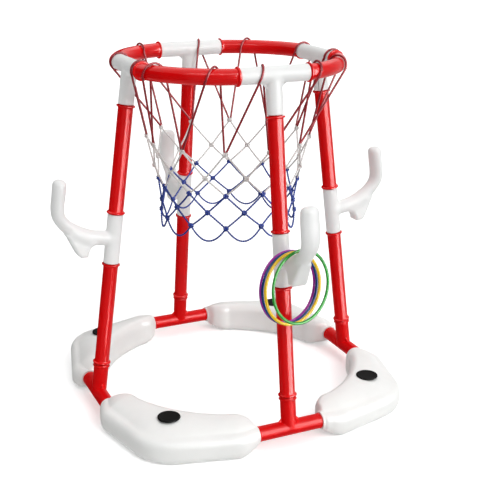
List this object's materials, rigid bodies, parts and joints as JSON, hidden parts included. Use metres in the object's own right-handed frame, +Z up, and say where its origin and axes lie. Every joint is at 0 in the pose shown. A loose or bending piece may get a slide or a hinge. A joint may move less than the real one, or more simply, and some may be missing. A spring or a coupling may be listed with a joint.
{
  "type": "floating basketball hoop",
  "caption": "Floating pool hoop on corner floats, with tube legs, a square rim with a knotted net, side hooks that swivel, and toss rings.",
  "frame": {"origin": "on the ground under the middle of the hoop", "axes": "+Z up. -Y points to the leg whose hook holds the toss rings, +X to its right seen from the middle's front"},
  "size_m": [0.601, 0.601, 0.5838],
  "materials": {
    "red_plastic": "glossy moulded plastic",
    "white_plastic": "satin moulded plastic",
    "black_plastic": "matt moulded plastic",
    "red_cord": "braided cord",
    "blue_twine": "knotted twine",
    "purple_plastic": "glossy moulded plastic",
    "blue_plastic": "glossy moulded plastic",
    "yellow_plastic": "glossy moulded plastic",
    "green_plastic": "glossy moulded plastic"
  },
  "bodies": {
    "frame": {"base_tee_right": "red_plastic", "base_tee_back": "red_plastic", "base_tee_left": "red_plastic", "base_tee_front": "red_plastic", "lower_tube_right": "red_plastic", "lower_tube_back": "red_plastic", "lower_tube_left": "red_plastic", "lower_tube_front": "red_plastic", "upper_tube_right": "red_plastic", "upper_tube_back": "red_plastic", "upper_tube_left": "red_plastic", "upper_tube_front": "red_plastic", "rim_tee_right": "white_plastic", "rim_tee_back": "white_plastic", "rim_tee_left": "white_plastic", "rim_tee_front": "white_plastic", "rim_arc_back_right": "red_plastic", "rim_arc_back_left": "red_plastic", "rim_arc_front_left": "red_plastic", "rim_arc_front_right": "red_plastic", "float_back_right": "white_plastic", "float_back_left": "white_plastic", "float_front_left": "white_plastic", "float_front_right": "white_plastic", "net_cord": "red_cord", "net_twine": "blue_twine"},
    "right_hook": {"hook_right": "white_plastic"},
    "back_hook": {"hook_back": "white_plastic"},
    "left_hook": {"hook_left": "white_plastic"},
    "front_hook": {"hook_front": "white_plastic"},
    "back_right_plug": {"filler_plug_back_right": "black_plastic"},
    "back_left_plug": {"filler_plug_back_left": "black_plastic"},
    "front_left_plug": {"filler_plug_front_left": "black_plastic"},
    "front_right_plug": {"filler_plug_front_right": "black_plastic"},
    "purple_ring": {"toss_ring_purple": "purple_plastic"},
    "blue_ring": {"toss_ring_blue": "blue_plastic"},
    "yellow_ring": {"toss_ring_yellow": "yellow_plastic"},
    "green_ring": {"toss_ring_green": "green_plastic"}
  },
  "joints": [
    {"name": "right_hook_swivel", "type": "hinge", "parent": "frame", "child": "right_hook", "pos_m": [0.2019, 0, 0.29483], "axis": [-0.1336, 0, 0.991], "range_deg": [-90, 90]},
    {"name": "back_hook_swivel", "type": "hinge", "parent": "frame", "child": "back_hook", "pos_m": [0, 0.2019, 0.29483], "axis": [0, -0.1336, 0.991], "range_deg": [-90, 90]},
    {"name": "left_hook_swivel", "type": "hinge", "parent": "frame", "child": "left_hook", "pos_m": [-0.2019, 0, 0.29483], "axis": [0.1336, 0, 0.991], "range_deg": [-90, 90]},
    {"name": "front_hook_swivel", "type": "hinge", "parent": "frame", "child": "front_hook", "pos_m": [0, -0.2019, 0.29483], "axis": [0, 0.1336, 0.991], "range_deg": [-90, 90]},
    {"name": "back_right_plug_pull", "type": "slide", "parent": "frame", "child": "back_right_plug", "axis": [0, 0, 1], "range_m": [0, 0.012]},
    {"name": "back_left_plug_pull", "type": "slide", "parent": "frame", "child": "back_left_plug", "axis": [0, 0, 1], "range_m": [0, 0.012]},
    {"name": "front_left_plug_pull", "type": "slide", "parent": "frame", "child": "front_left_plug", "axis": [0, 0, 1], "range_m": [0, 0.012]},
    {"name": "front_right_plug_pull", "type": "slide", "parent": "frame", "child": "front_right_plug", "axis": [0, 0, 1], "range_m": [0, 0.012]},
    {"name": "purple_ring_swing", "type": "hinge", "parent": "front_hook", "child": "purple_ring", "pos_m": [-0.00174, -0.22059, 0.29818], "axis": [0.2588, -0.9573, 0.129], "range_deg": [-15, 15]},
    {"name": "blue_ring_swing", "type": "hinge", "parent": "front_hook", "child": "blue_ring", "pos_m": [-0.00174, -0.22799, 0.29939], "axis": [0.2588, -0.9573, 0.129], "range_deg": [-15, 15]},
    {"name": "yellow_ring_swing", "type": "hinge", "parent": "front_hook", "child": "yellow_ring", "pos_m": [-0.00135, -0.23669, 0.30148], "axis": [0.2588, -0.9573, 0.129], "range_deg": [-15, 15]},
    {"name": "green_ring_swing", "type": "hinge", "parent": "front_hook", "child": "green_ring", "pos_m": [0, -0.2588, 0.31063], "axis": [0.2588, -0.9573, 0.129], "range_deg": [-15, 8]}
  ]
}
